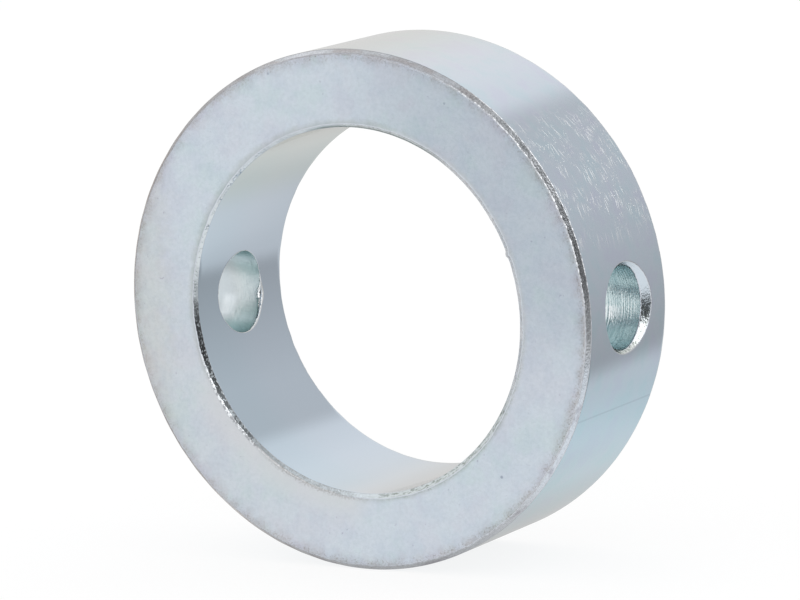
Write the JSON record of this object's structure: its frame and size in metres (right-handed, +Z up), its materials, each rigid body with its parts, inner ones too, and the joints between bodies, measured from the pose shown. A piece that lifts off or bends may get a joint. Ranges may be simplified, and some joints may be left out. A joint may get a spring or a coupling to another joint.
{
  "type": "shaft collar",
  "caption": "Solid one-piece ring that slides over a shaft and is locked by a pin through a countersunk hole drilled across both walls.",
  "frame": {"origin": "middle of the bore, half way along its width", "axes": "+Y along the bore, +X along the pin hole, +Z up"},
  "size_m": [0.05, 0.016, 0.05],
  "materials": {
    "zinc_plated_steel": "turned steel with a bright blue-passivated zinc plating; satin on the two faces, glossier on the rim and in the bore"
  },
  "bodies": {
    "root": {"collar": "zinc_plated_steel"}
  },
  "joints": []
}
